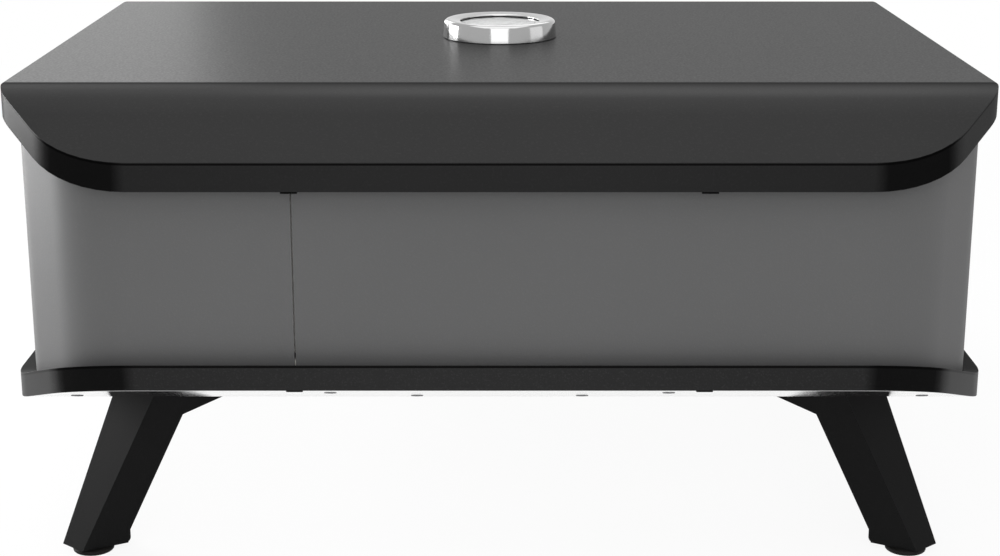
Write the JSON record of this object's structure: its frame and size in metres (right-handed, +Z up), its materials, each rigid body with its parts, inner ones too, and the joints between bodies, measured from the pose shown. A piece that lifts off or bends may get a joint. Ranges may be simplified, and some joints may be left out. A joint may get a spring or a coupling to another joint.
{
  "type": "portable gas pizza oven",
  "caption": "Wide low gas pizza oven in black sheet steel on folding legs, with an open mouth, a stone floor, a rear burner, a side control knob and a dial thermometer on its lid.",
  "frame": {"origin": "on the floor under the middle of the body", "axes": "+Z up, the mouth towards -Y, +X to the right of somebody who stands before the mouth"},
  "size_m": [0.6282, 0.566, 0.3211],
  "materials": {
    "black_paint": "satin black powder coat",
    "grey_paint": "satin graphite powder coat",
    "stainless": "bright rolled stainless sheet",
    "dark_steel": "plain steel, lightly heat tinted",
    "chrome": "polished chrome plate",
    "brass": "machined brass",
    "cordierite": "raw cordierite, fine grain",
    "fibre": "matt white ceramic fibre",
    "rubber": "matt black rubber",
    "plastic": "fine textured black plastic",
    "ceramic": "glazed white ceramic",
    "glass": "clear flat glass",
    "dial_face": "satin silver dial",
    "signal_red": "satin red"
  },
  "bodies": {
    "body": {"air_shutter": "dark_steel", "base_pan": "black_paint", "bottom_plate": "stainless", "burner_bracket_left": "stainless", "burner_bracket_right": "stainless", "burner_tube": "stainless", "chamber_rear": "stainless", "chamber_roof": "stainless", "chamber_side_left": "stainless", "chamber_side_right": "stainless", "electrode_insulator": "ceramic", "flame_guard": "stainless", "floor_insulation": "fibre", "front_panel": "grey_paint", "gas_inlet": "brass", "gas_jet": "brass", "gas_pipe": "brass", "gas_valve": "brass", "igniter_body": "plastic", "igniter_electrode": "dark_steel", "igniter_lead": "rubber", "insulation_blanket": "fibre", "knob_bezel": "stainless", "leg_bracket_front_left": "dark_steel", "leg_bracket_front_right": "dark_steel", "leg_bracket_rear_left": "dark_steel", "leg_bracket_rear_right": "dark_steel", "leg_pin_front_left": "stainless", "leg_pin_front_right": "stainless", "leg_pin_rear_left": "stainless", "leg_pin_rear_right": "stainless", "lid_shell": "black_paint", "mouth_header": "stainless", "mouth_jamb_left": "stainless", "mouth_jamb_right": "stainless", "mouth_sill": "stainless", "rear_wall": "grey_paint", "service_panel": "grey_paint", "stone_tray": "dark_steel", "thermometer_bezel": "chrome", "thermometer_case": "black_paint", "thermometer_dial": "dial_face", "thermometer_glass": "glass", "thermometer_nut": "brass", "thermometer_probe": "stainless"},
    "stone": {"pizza_stone": "cordierite"},
    "knob": {"control_knob": "plastic", "valve_stem": "dark_steel"},
    "igniter_push": {"igniter_button": "signal_red"},
    "pointer": {"thermometer_pointer": "signal_red"},
    "leg_rear_right": {"leg_rear_right": "black_paint", "leg_foot_rear_right": "rubber"},
    "leg_rear_left": {"leg_rear_left": "black_paint", "leg_foot_rear_left": "rubber"},
    "leg_front_left": {"leg_front_left": "black_paint", "leg_foot_front_left": "rubber"},
    "leg_front_right": {"leg_front_right": "black_paint", "leg_foot_front_right": "rubber"}
  },
  "joints": [
    {"name": "stone_slide", "type": "slide", "parent": "body", "child": "stone", "axis": [0, -1, 0], "range_m": [0, 0.43]},
    {"name": "knob_turn", "type": "hinge", "parent": "body", "child": "knob", "pos_m": [0.3, 0.02, 0.185], "axis": [1, 0, 0], "range_deg": [0, 180]},
    {"name": "igniter_press", "type": "slide", "parent": "body", "child": "igniter_push", "axis": [-1, 0, 0], "range_m": [0, 0.005], "stiffness_N_per_m": 800},
    {"name": "pointer_turn", "type": "hinge", "parent": "body", "child": "pointer", "pos_m": [0, -0.004, 0.3145], "axis": [0, 0, -1], "range_deg": [0, 270]},
    {"name": "leg_fold_rear_right", "type": "hinge", "parent": "body", "child": "leg_rear_right", "pos_m": [0.17849, 0.16995, 0.1003], "axis": [-0.4939, 0.8695, 0], "range_deg": [0, 125]},
    {"name": "leg_fold_rear_left", "type": "hinge", "parent": "body", "child": "leg_rear_left", "pos_m": [-0.17849, 0.16995, 0.1003], "axis": [-0.4939, -0.8695, 0], "range_deg": [0, 125]},
    {"name": "leg_fold_front_left", "type": "hinge", "parent": "body", "child": "leg_front_left", "pos_m": [-0.17849, -0.16995, 0.1003], "axis": [0.4939, -0.8695, 0], "range_deg": [0, 125]},
    {"name": "leg_fold_front_right", "type": "hinge", "parent": "body", "child": "leg_front_right", "pos_m": [0.17849, -0.16995, 0.1003], "axis": [0.4939, 0.8695, 0], "range_deg": [0, 125]}
  ]
}
